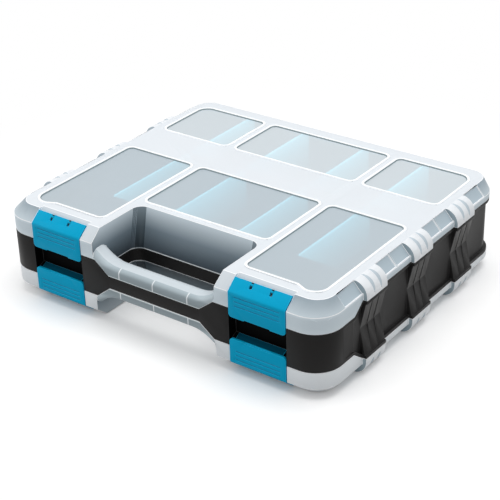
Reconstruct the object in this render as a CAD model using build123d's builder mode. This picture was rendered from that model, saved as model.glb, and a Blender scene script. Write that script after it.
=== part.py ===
import os
from math import cos, hypot, radians, sin, sqrt, tan

from build123d import *

# A double-sided parts organizer: a black tray with a floor at mid height, a translucent lid on each
# face, two snap latches on each lid and loose dividers. Millimetres, +Z up, origin at the middle of
# the footprint. The front, with the handle, faces -Y. The lower half mirrors the upper one.

# Lid plan at its shoulder, where the vertical skirt ends and the sloping top edge starts
skirt_width = 313.0
skirt_depth = 263.5
skirt_middle_y = -1.15
skirt_radius = 23.0
# Run of the sloping top edge at the sides, the front and the rear, and the plan radius at its top
side_run = 8.5
slope_run = 11.3
rear_run = 2.6
top_radius = 14.5
# Heights; the joint with the tray lies below the top, at the handle above mid height
box_height = 79.0
slope_fall = 9.5
side_parting = 14.7
front_parting = 23.3
bar_parting = 5.5
parting_gap = 0.3
# The joint steps down towards the front between these distances from the front face
step_run = (39.6, 50.9)
# Lid walls
lid_wall = 2.0
top_thickness = 2.6
window_recess = 1.2
hollow_bevel = (16.5, 10.0)
# Windows in the lid top, set in from its edges, from the handle recess and from the wall between the rows
window_inner_x = 70.0
centre_window_x = 60.2
window_side_margin = 9.4
window_front_margin = 14.1
window_corner_margin = 10.1
window_step = (20.6, 11.6)
window_recess_margin = 7.3
window_row_margin = 23.5
window_rear_margin = 14.0
window_radius = 5.0
window_corner_radius = 10.0
# Handle recess, at the flat top and at the rim of the tray, with its reach from the front face
recess_top_x = 60.3
recess_top_reach = 59.6
recess_rim_x = 58.2
recess_rim_reach = 49.9
recess_radius = 9.0
recess_gap = 0.6
# Handle
bar_depth = 16.4
bar_straight_x = 40.0
bar_flat_x = 44.5
bar_block_x = 58.0
bar_top = 20.5
bar_end_rise = 4.0
bar_radius = 6.5
bar_rib_pitch = 33.5
bar_rib = 1.4
core_wall = 2.5
core_back_gap = 1.0
# Side columns of the lids and the pilasters under them
column_width = 28.0
column_rear_margin = 63.8
column_count = 3
column_radius = 12.0
lobe_count = 3
lobe_groove_depth = 1.0
lobe_groove_floor = 0.8
lobe_groove_lean = 24.0
lobe_groove_fade = 0.15
pilaster_lip = 1.2
pilaster_groove_depth = 0.5
pilaster_groove_width = 1.1
# Panels sunk into the sloping edge between the columns
panel_depth = 0.9
panel_rib = 1.6
panel_margin = 0.8
panel_front_margin = 16.2
panel_rear_margin = 24.0
# Tray
tray_inset = 2.5
tray_wall = 2.2
tray_floor = 2.4
rim_gap = 0.5
lip_height = 2.6
corner_run = 14.0
inner_wall_gap = 2.3
inner_bevel = 10.0
row_wall_margin = 99.1
partition_gap = 0.9
partition_slope = 6.0
recess_wall_gap = 4.4
# Dividers and the slots that hold them
divider_thickness = 1.5
divider_gap = 0.5
divider_clearance = 0.2
divider_corner = 2.0
centre_divider_x = 31.5
side_divider_x = 91.5
slot_depth = 0.6
slot_clearance = 0.15
# Latches
latch_margin = 10.2
latch_thickness = 2.2
latch_stand = 0.5
latch_top_margin = 2.4
latch_end_drop = 6.9
latch_side_gap = 0.5
latch_back_gap = 0.8
latch_corner = 3.0
latch_bend_radius = 2.5
latch_relief_width = 23.0
latch_relief = 0.8
groove_drops = (3.1, 6.8, 10.5)
groove_width = 0.9
groove_depth = 0.5
groove_margin = 5.0
latch_slot_x = 9.0
latch_slot_width = 2.4
latch_slot_length = 5.6
hook_length = 5.3
hook_thickness = 2.0
hook_slope = 0.45
hook_drop = 4.5
hook_margin = 4.0
latch_pivot_down = 2.0
latch_bar_radius = 1.0
latch_swing_gap = 0.35
latch_pad = 6.6
latch_pad_margin = 2.0
web_thickness = 1.8
web_width = 3.8
web_clearance = 0.1
web_lip = 0.7
catch_gap = 0.25
catch_stand = 5.2
bay_wall = 2.0
# Lid hinges
hinge_stand = 0.3
knuckle_radius = 2.5
lid_knuckle_margin = 61.5
tray_knuckle_length = 10.0
knuckle_gap = 0.4
hinge_pin_radius = 1.2
hinge_pin_fit = 0.05
hinge_pin_clearance = 0.1
hinge_arm_drop = 7.0
notch_clearance = 1.2
# How far shapes that cut reach past what they cut, and how near a corner must lie to be picked
beyond = 40.0
near = 0.01

# Worked out from the sizes above
middle = box_height / 2
skirt_x = skirt_width / 2
front_y = skirt_middle_y - skirt_depth / 2
rear_y = skirt_middle_y + skirt_depth / 2
top_x = skirt_x - side_run
top_front_y = front_y + slope_run
top_rear_y = rear_y - rear_run
column_x = top_x + column_radius
slope_length = hypot(slope_run, slope_fall)
step_front_y, step_rear_y = [front_y + run for run in step_run]
recess_top_y = front_y + recess_top_reach
recess_rim_y = front_y + recess_rim_reach
row_wall_y = rear_y - row_wall_margin
window_outer_x = top_x - window_side_margin
window_step_x = [window_outer_x - run for run in window_step]
front_window_y = top_front_y + window_front_margin
corner_window_y = top_front_y + window_corner_margin
centre_window_y = recess_top_y + window_recess_margin
row_front_y = row_wall_y - window_row_margin
row_rear_y = row_wall_y + window_row_margin
rear_window_y = top_rear_y - window_rear_margin
panel_front_y = top_front_y + panel_front_margin
panel_rear_y = top_rear_y - panel_rear_margin
shoulder_z = box_height - slope_fall
inner_shoulder_z = shoulder_z - lid_wall / 2
lid_under_z = box_height - top_thickness
side_parting_z = box_height - side_parting
front_parting_z = box_height - front_parting
bar_parting_z = middle + bar_parting
bar_back_y = front_y + bar_depth
bar_end_x = recess_rim_x + lid_wall / 2
floor_z = middle + tray_floor / 2
tray_x = skirt_x - tray_inset
tray_rear_y = rear_y - tray_inset
chamber_x = tray_x - tray_wall
chamber_rear_y = tray_rear_y - tray_wall
inner_front_y = front_y + latch_pad + inner_wall_gap
rim_z = inner_shoulder_z - rim_gap
partition_z = lid_under_z - partition_gap
partition_x = recess_top_x + lid_wall + recess_gap + tray_wall / 2
cross_wall_y = recess_top_y + lid_wall + tray_wall / 2
latch_span = (recess_top_x + tray_wall, skirt_x - skirt_radius)
latch_x = sum(latch_span) / 2
latch_width = latch_span[1] - latch_span[0] - 2 * latch_margin
seat_half = latch_width / 2 + latch_side_gap
seat_depth = latch_thickness + latch_back_gap - latch_stand
pivot_down = latch_top_margin + latch_pivot_down
pivot_depth = latch_thickness / 2 - latch_stand
hinge_y = rear_y + hinge_stand
hinge_z = side_parting_z
lid_knuckle_length = skirt_width - 2 * lid_knuckle_margin
tray_knuckle_x = lid_knuckle_length / 2 + knuckle_gap + tray_knuckle_length / 2
column_first_y = step_rear_y + column_width / 2
column_pitch = (rear_y - column_rear_margin - column_first_y) / (column_count - 1)
column_places = [column_first_y + column_pitch * step for step in range(column_count)]
lobe_pitch = column_width / lobe_count
groove_shift = (lobe_groove_depth + lobe_groove_fade) / (sqrt(2) - 1)
groove_radius = column_radius + groove_shift + lobe_groove_fade
groove_z = box_height - column_radius - groove_shift
mirror_plane = Plane.XY.offset(middle)
sides = (-1, 1)


def plan(z, half_width, front, rear, radius):
    # Rounded plan outline at height z
    with BuildSketch(Plane.XY.offset(z)) as outline:
        with Locations((0, (front + rear) / 2)):
            RectangleRounded(2 * half_width, rear - front, radius)
    return outline.sketch


def bevelled_plan(z, half_width, front, rear, bevel):
    # Plan outline at height z with its corners cut off
    with BuildSketch(Plane.XY.offset(z)) as outline:
        with Locations((0, (front + rear) / 2)):
            Rectangle(2 * half_width, rear - front)
        chamfer(vertices(), bevel)
    return outline.sketch


def skirt_plan(z, inset):
    return plan(z, skirt_x - inset, front_y + inset, rear_y - inset, skirt_radius - inset)


def profile(plane, *points):
    # Closed straight-sided outline on a plane
    with BuildSketch(plane) as outline:
        with BuildLine():
            Polyline(*points, close=True)
        make_face()
    return outline.sketch


def disc(plane, radius, y, z):
    with BuildSketch(plane) as outline:
        with Locations((y, z)):
            Circle(radius)
    return outline.sketch


def side_plane(side, y):
    # Upright plane across a side wall: its first axis points outwards, its second upwards
    return Plane((0, y, 0), x_dir=(side, 0, 0), z_dir=(0, -side, 0))


def recess_edge(z, grow):
    # Half width and rear of the handle recess at height z, moved outwards by grow
    share = (z - bar_parting_z) / (box_height - bar_parting_z)
    half_width = recess_rim_x + share * (recess_top_x - recess_rim_x) + grow
    return half_width, recess_rim_y + share * (recess_top_y - recess_rim_y) + grow


def recess_solid(grow):
    # The handle recess between its leaning walls; it runs out through the front
    low, high = middle - beyond, box_height + beyond
    low_x, low_y = recess_edge(low, grow)
    high_x, high_y = recess_edge(high, grow)
    front = front_y - beyond
    along = profile(Plane.YZ, (front, low), (low_y, low), (high_y, high), (front, high))
    across = profile(Plane.XZ, (-low_x, low), (low_x, low), (high_x, high), (-high_x, high))
    with BuildPart() as hollow:
        extrude(along, amount=column_x, both=True)
        extrude(across, amount=2 * beyond - front_y, both=True, mode=Mode.INTERSECT)
        upright = edges().filter_by(lambda edge: abs(edge.tangent_at(0.5).Z) > 0.5)
        fillet(upright.sort_by(Axis.Y)[-2:], recess_radius + grow)
    return hollow.part


def rim_plan(grow):
    # The straight-walled handle opening through the tray
    return plan(
        middle, recess_rim_x + grow, front_y - beyond, recess_rim_y + grow, recess_radius + grow
    )


def slope_point(down, depth):
    # Point on the lid's front slope, a distance down it from the top edge and a depth below its surface
    y = top_front_y - (down * slope_run - depth * slope_fall) / slope_length
    z = box_height - (down * slope_fall + depth * slope_run) / slope_length
    return y, z


def slope_top(depth):
    # Where the lid's front slope, moved inwards by depth, meets the level of the flat top
    return top_front_y + depth * slope_length / slope_fall, box_height


def slope_bend(depth):
    # Where the front slope moved inwards by depth meets the front wall moved by the same depth
    y = front_y + depth
    return y, box_height + ((y - top_front_y) * slope_fall - depth * slope_length) / slope_run


def parting_line(drop):
    # The joint between tray and lid seen from the side, from front to rear, lowered by drop
    return (
        (front_y - beyond, front_parting_z - drop),
        (step_front_y, front_parting_z - drop),
        (step_rear_y, side_parting_z - drop),
        (rear_y + beyond, side_parting_z - drop),
    )


def bar_line(drop, half_width):
    # The joint between tray and lid across the front, dipping at the handle
    high = front_parting_z - drop
    low = bar_parting_z - drop
    right = ((bar_flat_x, low), (bar_block_x, high), (half_width, high))
    return [(-x, z) for x, z in reversed(right)] + list(right)


def bar_section(x, top, inset):
    # Handle section across the bar, rounded along its top outside and bevelled inside
    low = middle - beyond
    with BuildSketch(Plane.YZ.offset(x)) as section:
        with Locations(((front_y + bar_back_y) / 2, (low + top - inset) / 2)):
            Rectangle(bar_depth - 2 * inset, top - inset - low)
        upper = vertices().group_by(Axis.Y)[-1]
        if inset == 0:
            fillet(upper, bar_radius)
        else:
            chamfer(upper, bar_radius - inset)
    return section.sketch


def bar_solid(inset):
    # The handle's upper half; its ends rise towards the lid blocks
    top = middle + bar_top
    with BuildPart() as bar:
        extrude(bar_section(0, top, inset), amount=bar_straight_x, both=True)
        for side in sides:
            straight = bar_section(side * bar_straight_x, top, inset)
            end = bar_section(side * bar_end_x, top + bar_end_rise, inset)
            loft([straight, end], ruled=True)
    return bar.part


def inner_edge(outer, high):
    # Where the inner face of a sloping edge meets the underside of the top
    run = abs(high - outer)
    share = (lid_under_z - shoulder_z) / slope_fall
    reach = run * share + lid_wall * hypot(run, slope_fall) / slope_fall
    return outer + reach if high > outer else outer - reach


def column_point(angle, inset):
    # Point on a lid column's quarter round, an angle above its upright face
    centre_z = box_height - column_radius
    radius = column_radius - inset
    return top_x + radius * cos(radians(angle)), centre_z + radius * sin(radians(angle))


def column_profile(plane):
    # Lid column: a quarter round from the flat top out to an upright face
    with BuildSketch(plane) as section:
        with BuildLine():
            top = column_point(90, 0)
            side = column_point(0, 0)
            RadiusArc(top, side, column_radius)
            Polyline(side, (column_x, side_parting_z), (chamber_x, side_parting_z), (top_x, lid_under_z), top)
        make_face()
    return section.sketch


def lobe_groove(side, y):
    # Section of a groove between two lobes of a column, at the foot of its sweep up to the flat top
    floor_x = top_x - groove_shift + groove_radius
    mouth_x = floor_x + 2 * lobe_groove_depth
    floor = lobe_groove_floor / 2
    mouth = floor + (mouth_x - floor_x) / tan(radians(lobe_groove_lean))
    return profile(
        Plane.XY.offset(groove_z),
        (side * floor_x, y - floor),
        (side * mouth_x, y - mouth),
        (side * mouth_x, y + mouth),
        (side * floor_x, y + floor),
    )


def panel_spans():
    # Lengths of the sunk panels along each side: one at each end and a pair between columns
    half = column_width / 2
    spans = [(panel_front_y, column_places[0] - half), (column_places[-1] + half, panel_rear_y)]
    for near, following in zip(column_places, column_places[1:]):
        start, stop = near + half, following - half
        centre = (start + stop) / 2
        spans += [(start, centre - panel_rib / 2), (centre + panel_rib / 2, stop)]
    return spans


# Lid, built as the upper one: first its hollow, its trim along the joint and its sunk details
with BuildPart() as lid_hollow:
    extrude(skirt_plan(middle, lid_wall), amount=inner_shoulder_z - middle)
    shoulder = bevelled_plan(
        inner_shoulder_z, skirt_x - lid_wall, front_y + lid_wall, rear_y - lid_wall, hollow_bevel[0]
    )
    under = bevelled_plan(
        lid_under_z,
        inner_edge(skirt_x, top_x),
        inner_edge(front_y, top_front_y),
        inner_edge(rear_y, top_rear_y),
        hollow_bevel[1],
    )
    loft([shoulder, under], ruled=True)
    for side in sides:
        for y in column_places:
            inside = profile(
                side_plane(side, y),
                (chamber_x, middle),
                (column_x - lid_wall, middle),
                column_point(0, lid_wall),
                column_point(45, lid_wall),
                (top_x, lid_under_z),
            )
            extrude(inside, amount=column_width / 2 - lid_wall, both=True)
    add(recess_solid(lid_wall), mode=Mode.SUBTRACT)

with BuildPart() as lid_trim:
    joint = parting_line(0)
    below = profile(Plane.YZ, *joint, (joint[-1][0], -beyond), (joint[0][0], -beyond))
    extrude(below, amount=column_x + beyond, both=True)
    add(recess_solid(lid_wall), mode=Mode.SUBTRACT)
    bar_joint = bar_line(0, column_x)
    under_bar = profile(Plane.XZ.offset(-bar_back_y), *bar_joint, (column_x, -beyond), (-column_x, -beyond))
    extrude(under_bar, amount=bar_depth + beyond)
    with Locations((0, (bar_back_y + cross_wall_y) / 2, bar_parting_z / 2)):
        Box(2 * partition_x, cross_wall_y - bar_back_y, bar_parting_z)

with BuildPart() as bar_hollow:
    add(bar_solid(lid_wall))
    with Locations(*[(step * bar_rib_pitch, (front_y + bar_back_y) / 2, middle) for step in (-1, 0, 1)]):
        Box(bar_rib, bar_depth, 4 * bar_top, mode=Mode.SUBTRACT)

with BuildPart() as lid_details:
    # Windows: three at the front, the outer ones stepped at the corner, and three at the rear
    with BuildSketch(Plane.XY.offset(box_height)):
        with Locations((0, (centre_window_y + row_front_y) / 2)):
            RectangleRounded(2 * centre_window_x, row_front_y - centre_window_y, window_radius)
        with Locations((0, (row_rear_y + rear_window_y) / 2)):
            RectangleRounded(2 * centre_window_x, rear_window_y - row_rear_y, window_radius)
    extrude(amount=-window_recess)
    with BuildSketch(Plane.XY.offset(box_height)):
        with BuildLine():
            Polyline(
                (window_inner_x, row_front_y),
                (window_outer_x, row_front_y),
                (window_outer_x, corner_window_y),
                (window_step_x[1], corner_window_y),
                (window_step_x[0], front_window_y),
                (window_inner_x, front_window_y),
                close=True,
            )
        make_face()
        outer_corner = vertices().group_by(Axis.Y)[0].sort_by(Axis.X)[-1:]
        fillet(outer_corner, window_corner_radius)
        fillet(vertices().group_by(Axis.Y)[-1], window_radius)
        fillet(vertices().group_by(Axis.X)[0].sort_by(Axis.Y)[:1], window_radius)
        stepped = vertices().filter_by_position(Axis.X, window_step_x[0] - near, window_step_x[1] + near)
        fillet(stepped, window_radius)
        mirror(about=Plane.YZ)
    extrude(amount=-window_recess)
    with BuildSketch(Plane.XY.offset(box_height)):
        with Locations(((window_inner_x + window_outer_x) / 2, (row_rear_y + rear_window_y) / 2)):
            Rectangle(window_outer_x - window_inner_x, rear_window_y - row_rear_y)
        fillet(vertices().group_by(Axis.Y)[-1].sort_by(Axis.X)[-1:], window_corner_radius)
        fillet(vertices().group_by(Axis.Y)[0], window_radius)
        fillet(vertices().group_by(Axis.X)[0].sort_by(Axis.Y)[-1:], window_radius)
        mirror(about=Plane.YZ)
    extrude(amount=-window_recess)
    # Grooves round the columns, which fade out at both ends, and panels along the sloping sides
    for side in sides:
        sweep_axis = Axis((side * (top_x - groove_shift), 0, groove_z), (0, -side, 0))
        for y in column_places:
            for step in range(1, lobe_count):
                groove = lobe_groove(side, y + (step - lobe_count / 2) * lobe_pitch)
                revolve(groove, axis=sweep_axis, revolution_arc=90)
        side_slope = Plane(
            (side * (top_x + skirt_x) / 2, 0, (shoulder_z + box_height) / 2),
            x_dir=(0, side, 0),
            z_dir=(side * slope_fall, 0, side_run),
        )
        with BuildSketch(side_slope) as panels:
            for start, stop in panel_spans():
                with Locations((side * (start + stop) / 2, 0)):
                    Rectangle(stop - start, hypot(side_run, slope_fall) - 2 * panel_margin)
        extrude(panels.sketch, amount=-panel_depth)
    # Latch seats, each with a trough for the turning top edge of the latch
    for side in sides:
        seat_plane = Plane.YZ.offset(side * latch_x)
        seat = profile(
            seat_plane,
            slope_top(seat_depth),
            slope_bend(seat_depth),
            (front_y + seat_depth, middle),
            (front_y - beyond, middle),
            (front_y - beyond, box_height + beyond),
            (slope_top(seat_depth)[0], box_height + beyond),
        )
        extrude(seat, amount=seat_half, both=True)
        swing_radius = hypot(latch_pivot_down, latch_thickness / 2) + latch_swing_gap
        trough = profile(
            seat_plane,
            slope_point(pivot_down - swing_radius, pivot_depth),
            slope_point(pivot_down + swing_radius, pivot_depth),
            slope_point(pivot_down + swing_radius, pivot_depth + swing_radius),
            slope_point(pivot_down - swing_radius, pivot_depth + swing_radius),
        )
        extrude(trough, amount=seat_half, both=True)

# Parts of the hinge and the latch seats that stand in the sunk places
with BuildPart() as lid_fittings:
    web_root = latch_pad - lid_wall / 2
    web_end = pivot_depth - web_lip
    web_reaches = ((-1, web_end), (1, web_end), (1, web_root), (-1, web_root))
    for side in sides:
        for web_side in sides:
            web_plane = Plane.YZ.offset(side * latch_x + web_side * latch_slot_x)
            outline = [slope_point(pivot_down + way * web_width / 2, depth) for way, depth in web_reaches]
            bore_radius = latch_bar_radius + web_clearance
            with BuildSketch(web_plane) as web:
                with BuildLine():
                    Polyline(*outline, close=True)
                make_face()
                with Locations(slope_point(pivot_down, pivot_depth)):
                    Circle(bore_radius, mode=Mode.SUBTRACT)
            extrude(web.sketch, amount=web_thickness / 2, both=True)
    arm = profile(
        Plane.YZ,
        (rear_y - lid_wall, hinge_z),
        (hinge_y, hinge_z),
        (hinge_y, hinge_z + knuckle_radius),
        (rear_y - lid_wall, hinge_z + knuckle_radius),
    )
    extrude(arm, amount=lid_knuckle_length / 2, both=True)
    extrude(disc(Plane.YZ, knuckle_radius, hinge_y, hinge_z), amount=lid_knuckle_length / 2, both=True)

with BuildPart() as upper_lid:
    extrude(skirt_plan(middle, 0), amount=shoulder_z - middle)
    flat_top = plan(box_height, top_x, top_front_y, top_rear_y, top_radius)
    loft([skirt_plan(shoulder_z, 0), flat_top], ruled=True)
    for side in sides:
        for y in column_places:
            extrude(column_profile(side_plane(side, y)), amount=column_width / 2, both=True)
    add(lid_hollow.part, mode=Mode.SUBTRACT)
    add(recess_solid(0), mode=Mode.SUBTRACT)
    add(bar_solid(0))
    add(bar_hollow.part, mode=Mode.SUBTRACT)
    for side in sides:
        pad = profile(
            Plane.YZ.offset(side * latch_x),
            (top_front_y, box_height),
            (front_y, shoulder_z),
            (front_y, front_parting_z),
            (front_y + latch_pad, front_parting_z),
            slope_bend(latch_pad),
            slope_top(latch_pad),
        )
        extrude(pad, amount=latch_width / 2 + latch_pad_margin, both=True)
    add(lid_trim.part, mode=Mode.SUBTRACT)
    add(lid_details.part, mode=Mode.SUBTRACT)
    # Notches at the rear that clear the tray's knuckles
    notch_top = hinge_z + knuckle_radius + notch_clearance
    with Locations(*[(side * tray_knuckle_x, rear_y, (middle + notch_top) / 2) for side in sides]):
        Box(
            tray_knuckle_length + 2 * knuckle_gap,
            2 * (lid_wall + rim_gap),
            notch_top - middle,
            mode=Mode.SUBTRACT,
        )
    add(lid_fittings.part)
    lid_bore = disc(Plane.YZ, hinge_pin_radius + hinge_pin_clearance, hinge_y, hinge_z)
    extrude(lid_bore, amount=skirt_x, both=True, mode=Mode.SUBTRACT)

with BuildPart() as lower_lid:
    add(upper_lid.part.mirror(mirror_plane))

# Latch, built as the upper right one
latch_face_y = front_y - latch_stand
hook_root_y = latch_face_y + latch_thickness
latch_inside = latch_thickness - latch_stand
latch_end_z = front_parting_z - latch_end_drop


def hook_z(y):
    # Upper face of a closed latch's hook, which falls away inwards
    return front_parting_z - hook_drop - hook_slope * (y - hook_root_y)


with BuildPart() as upper_right_latch:
    latch_plane = Plane.YZ.offset(latch_x)
    with BuildSketch(latch_plane) as plate:
        with BuildLine():
            Polyline(
                slope_point(latch_top_margin, -latch_stand),
                slope_bend(-latch_stand),
                (latch_face_y, latch_end_z),
                (hook_root_y, latch_end_z),
                slope_bend(latch_inside),
                slope_point(latch_top_margin, latch_inside),
                close=True,
            )
        make_face()
        bends = [Vector(*slope_bend(depth)) for depth in (-latch_stand, latch_inside)]
        at_bend = vertices().filter_by(lambda v: min((v.center() - bend).length for bend in bends) < near)
        fillet(at_bend, latch_bend_radius)
    extrude(plate.sketch, amount=latch_width / 2, both=True)
    hook_tip_y = hook_root_y + hook_length
    hook = profile(
        latch_plane,
        (latch_face_y + latch_thickness / 2, hook_z(hook_root_y)),
        (hook_root_y, hook_z(hook_root_y)),
        (hook_tip_y, hook_z(hook_tip_y)),
        (hook_tip_y, hook_z(hook_tip_y) - hook_thickness),
        (hook_root_y, hook_z(hook_root_y) - hook_thickness),
        (latch_face_y + latch_thickness / 2, hook_z(hook_root_y) - hook_thickness),
    )
    extrude(hook, amount=latch_width / 2 - hook_margin, both=True)
    # Rounded corners at the free end and a shallow finger relief between them
    with BuildSketch(Plane.XZ.offset(-front_y)) as face:
        low = hook_z(hook_tip_y) - hook_thickness
        with Locations((latch_x, (low + box_height) / 2)):
            Rectangle(latch_width, box_height - low)
        with Locations(*[(latch_x + side * latch_width / 2, (low + latch_end_z) / 2) for side in sides]):
            Rectangle(2 * hook_margin, latch_end_z - low, mode=Mode.SUBTRACT)
        corners = vertices().filter_by(lambda v: abs(v.Y - latch_end_z) < near)
        ends = corners.sort_by(Axis.X)
        fillet([ends[0], ends[-1]], latch_corner)
    extrude(face.sketch, amount=beyond, both=True, mode=Mode.INTERSECT)
    with Locations((latch_x, latch_face_y, latch_end_z)):
        Box(latch_relief_width, latch_thickness, 2 * latch_relief, mode=Mode.SUBTRACT)
    # Grip grooves across the front
    with Locations(*[(latch_x, latch_face_y, shoulder_z - drop) for drop in groove_drops]):
        Box(latch_width - 2 * groove_margin, 2 * groove_depth, groove_width, mode=Mode.SUBTRACT)
    # Slots for the lid's webs, bridged by the bar that the webs grip
    slot_y, slot_z = slope_point(latch_top_margin, 0)
    slope_plane = Plane((latch_x, slot_y, slot_z), x_dir=(1, 0, 0), z_dir=(0, -slope_fall, slope_run))
    with BuildSketch(slope_plane) as slots:
        with Locations((-latch_slot_x, 0), (latch_slot_x, 0)):
            Rectangle(latch_slot_width, 2 * latch_slot_length)
    extrude(slots.sketch, amount=2 * latch_thickness, both=True, mode=Mode.SUBTRACT)
    bar = disc(latch_plane, latch_bar_radius, *slope_point(pivot_down, pivot_depth))
    extrude(bar, amount=latch_slot_x + latch_slot_width, both=True)

with BuildPart() as upper_left_latch:
    add(upper_right_latch.part.mirror(Plane.YZ))
with BuildPart() as lower_right_latch:
    add(upper_right_latch.part.mirror(mirror_plane))
with BuildPart() as lower_left_latch:
    add(upper_left_latch.part.mirror(mirror_plane))

# Dividers stand on the tray floor in two rows; the lower rear row is set with one fewer
row_spans = {
    "front": (cross_wall_y + tray_wall / 2, row_wall_y - tray_wall / 2),
    "rear": (row_wall_y + tray_wall / 2, chamber_rear_y),
}
four_places = (-side_divider_x, -centre_divider_x, centre_divider_x, side_divider_x)
three_places = (-side_divider_x, 0, side_divider_x)
divider_places = {
    ("upper", "front"): four_places,
    ("upper", "rear"): four_places,
    ("lower", "front"): four_places,
    ("lower", "rear"): three_places,
}


def divider_slots(row, places):
    # Upright slots in the walls at both ends of a row of dividers, for the upper side
    start, stop = row_spans[row]
    with BuildPart() as slots:
        for x in places:
            with Locations((x, (start + stop) / 2, (floor_z + box_height) / 2)):
                Box(
                    divider_thickness + 2 * slot_clearance,
                    stop - start + 2 * slot_depth,
                    box_height - floor_z,
                )
    return slots.part


# Tray: the upper half first, then its mirror image
with BuildPart() as lip:
    extrude(skirt_plan(middle, 0), amount=rim_z - middle)
    extrude(skirt_plan(middle, tray_inset + tray_wall), amount=rim_z - middle, mode=Mode.SUBTRACT)
    lip_low = parting_line(parting_gap + lip_height)
    strip = profile(Plane.YZ, *parting_line(parting_gap), *reversed(lip_low))
    extrude(strip, amount=skirt_x, both=True, mode=Mode.INTERSECT)
    with Locations((0, rear_y, middle)):
        Box(skirt_width, 2 * tray_inset, box_height, mode=Mode.SUBTRACT)

with BuildPart() as corner_wall:
    # The front wall and corners stand flush with the lids; their ends draw in towards the pilasters
    extrude(skirt_plan(middle, 0), amount=rim_z - middle)
    extrude(skirt_plan(middle, tray_inset + rim_gap), amount=rim_z - middle, mode=Mode.SUBTRACT)
    front_line = parting_line(parting_gap)[:3]
    below_joint = profile(Plane.YZ, *front_line, (step_rear_y, middle), (front_line[0][0], middle))
    extrude(below_joint, amount=skirt_x, both=True, mode=Mode.INTERSECT)
    for side in sides:
        wedge = profile(
            Plane.XY.offset(middle),
            (side * skirt_x, step_front_y - corner_run),
            (side * column_x, step_front_y - corner_run),
            (side * column_x, step_rear_y),
            (side * tray_x, step_rear_y),
        )
        extrude(wedge, amount=rim_z - middle, both=True, mode=Mode.SUBTRACT)

with BuildPart() as inner_wall:
    # Wall behind the latch bays, cut across at the corners, that runs into the side walls
    wall_height = slope_bend(latch_pad)[1] - rim_gap - middle
    extrude(bevelled_plan(middle, chamber_x, inner_front_y, -inner_front_y, inner_bevel), amount=wall_height)
    space = bevelled_plan(
        middle,
        chamber_x - tray_wall,
        inner_front_y + tray_wall,
        -inner_front_y,
        inner_bevel - tray_wall * (2 - sqrt(2)),
    )
    extrude(space, amount=wall_height, mode=Mode.SUBTRACT)
    with Locations((0, step_rear_y + tray_wall - inner_front_y, middle)):
        Box(skirt_width, -2 * inner_front_y, box_height, mode=Mode.SUBTRACT)
    with Locations((0, inner_front_y, middle)):
        Box(2 * partition_x, 2 * inner_bevel, box_height, mode=Mode.SUBTRACT)

with BuildPart() as handle_core:
    # Rim round the handle opening and the middle layer of the handle, channelled like the lids' halves
    rim_x = recess_rim_x + core_wall
    extrude(rim_plan(core_wall), amount=bar_parting - parting_gap)
    extrude(rim_plan(0), amount=bar_parting - parting_gap, mode=Mode.SUBTRACT)
    with Locations((0, front_y - beyond, middle)):
        Box(skirt_width, 2 * (bar_depth - core_back_gap + beyond), box_height, mode=Mode.SUBTRACT)
    core = profile(
        Plane.XZ.offset(-front_y), *bar_line(parting_gap, rim_x), (rim_x, middle), (-rim_x, middle)
    )
    extrude(core, amount=-(bar_depth - core_back_gap))
    channel_depth = bar_depth - core_back_gap - 2 * core_wall
    with Locations((0, front_y + core_wall + channel_depth / 2, floor_z)):
        with Locations((0, 0, bar_parting / 2)):
            Box(2 * bar_flat_x, channel_depth, bar_parting, mode=Mode.SUBTRACT)
            with Locations((-bar_rib_pitch, 0), (0, 0), (bar_rib_pitch, 0)):
                Box(bar_rib, channel_depth, bar_parting)
    with Locations((0, front_y, bar_parting_z - parting_gap + bar_parting)):
        Box(2 * bar_flat_x, 2 * bar_depth, 2 * bar_parting, mode=Mode.SUBTRACT)

with BuildPart() as cross_wall:
    # Wall behind the handle recess, lower between the partitions
    side_slope_run = partition_slope * side_run / slope_fall
    right_end = (
        (chamber_x - side_slope_run, partition_z),
        (chamber_x, partition_z - partition_slope),
        (chamber_x, middle),
    )
    cross_points = [(-x, z) for x, z in reversed(right_end)] + list(right_end)
    extrude(profile(Plane.XZ.offset(-cross_wall_y), *cross_points), amount=tray_wall / 2, both=True)
    with Locations((0, cross_wall_y, lid_under_z)):
        Box(2 * partition_x, 2 * tray_wall, 2 * recess_wall_gap, mode=Mode.SUBTRACT)

with BuildPart() as partitions:
    front_run = partition_slope / 2 * slope_run / slope_fall
    long_wall = profile(
        Plane.YZ,
        (inner_front_y, middle),
        (inner_front_y, partition_z - partition_slope / 2),
        (inner_front_y + front_run, partition_z),
        (chamber_rear_y, partition_z),
        (chamber_rear_y, middle),
    )
    extrude(long_wall, amount=partition_x + tray_wall / 2, both=True)
    extrude(long_wall, amount=partition_x - tray_wall / 2, both=True, mode=Mode.SUBTRACT)
    add(cross_wall.part)
    extrude(profile(Plane.XZ.offset(-row_wall_y), *cross_points), amount=tray_wall / 2, both=True)

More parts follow.
